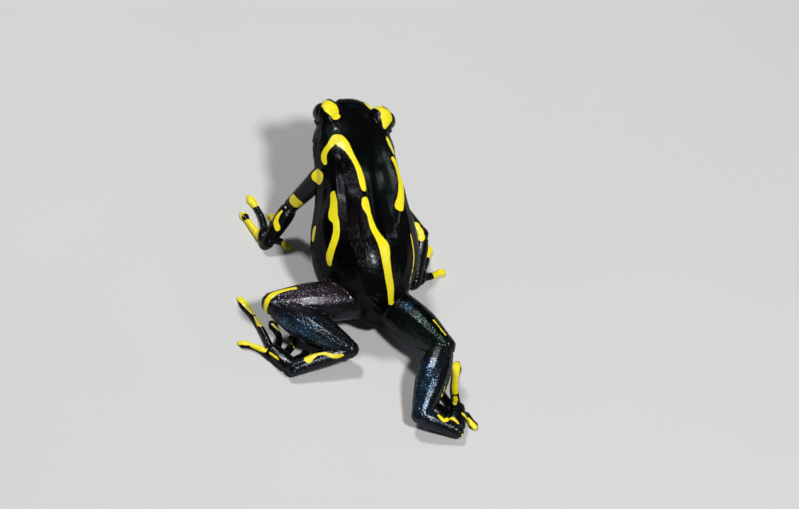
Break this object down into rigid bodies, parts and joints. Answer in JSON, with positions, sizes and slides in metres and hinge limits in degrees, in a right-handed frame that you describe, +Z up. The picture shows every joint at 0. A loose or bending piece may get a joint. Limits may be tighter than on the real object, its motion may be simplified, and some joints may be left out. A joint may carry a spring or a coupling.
{
  "type": "poison dart frog model",
  "caption": "Still life-size poison dart frog, glossy black with lemon-yellow stripes, settled low with a folded hind leg and the other stretched back.",
  "frame": {"origin": "middle of the flat under the belly, on the floor", "axes": "+Y forward along the body towards the snout, +X towards the frog's own right side, +Z up"},
  "size_m": [0.0378, 0.0624, 0.0197],
  "materials": {
    "skin": "moist glossy black skin with yellow stripes",
    "skin_leg": "moist granular blue-black skin",
    "skin_yellow": "moist lemon-yellow skin",
    "eye": "wet black-brown eye"
  },
  "bodies": {
    "root": {"torso": "skin", "head": "skin", "eye_left": "eye", "eye_right": "eye", "upper_arm_left": "skin", "forearm_left": "skin", "hand_left": "skin", "finger_left_1": "skin", "finger_left_2": "skin", "finger_left_3": "skin", "finger_left_4": "skin_yellow", "thigh_left": "skin_leg", "shank_left": "skin_leg", "tarsus_left": "skin_leg", "foot_left": "skin", "toe_left_1": "skin", "toe_left_2": "skin", "toe_left_3": "skin", "toe_left_4": "skin_yellow", "toe_left_5": "skin_yellow", "upper_arm_right": "skin", "forearm_right": "skin", "hand_right": "skin", "finger_right_1": "skin", "finger_right_2": "skin", "finger_right_3": "skin", "finger_right_4": "skin", "thigh_right": "skin_leg", "shank_right": "skin_leg", "tarsus_right": "skin_leg", "foot_right": "skin", "toe_right_1": "skin", "toe_right_2": "skin", "toe_right_3": "skin", "toe_right_4": "skin_yellow", "toe_right_5": "skin_yellow"}
  },
  "joints": []
}
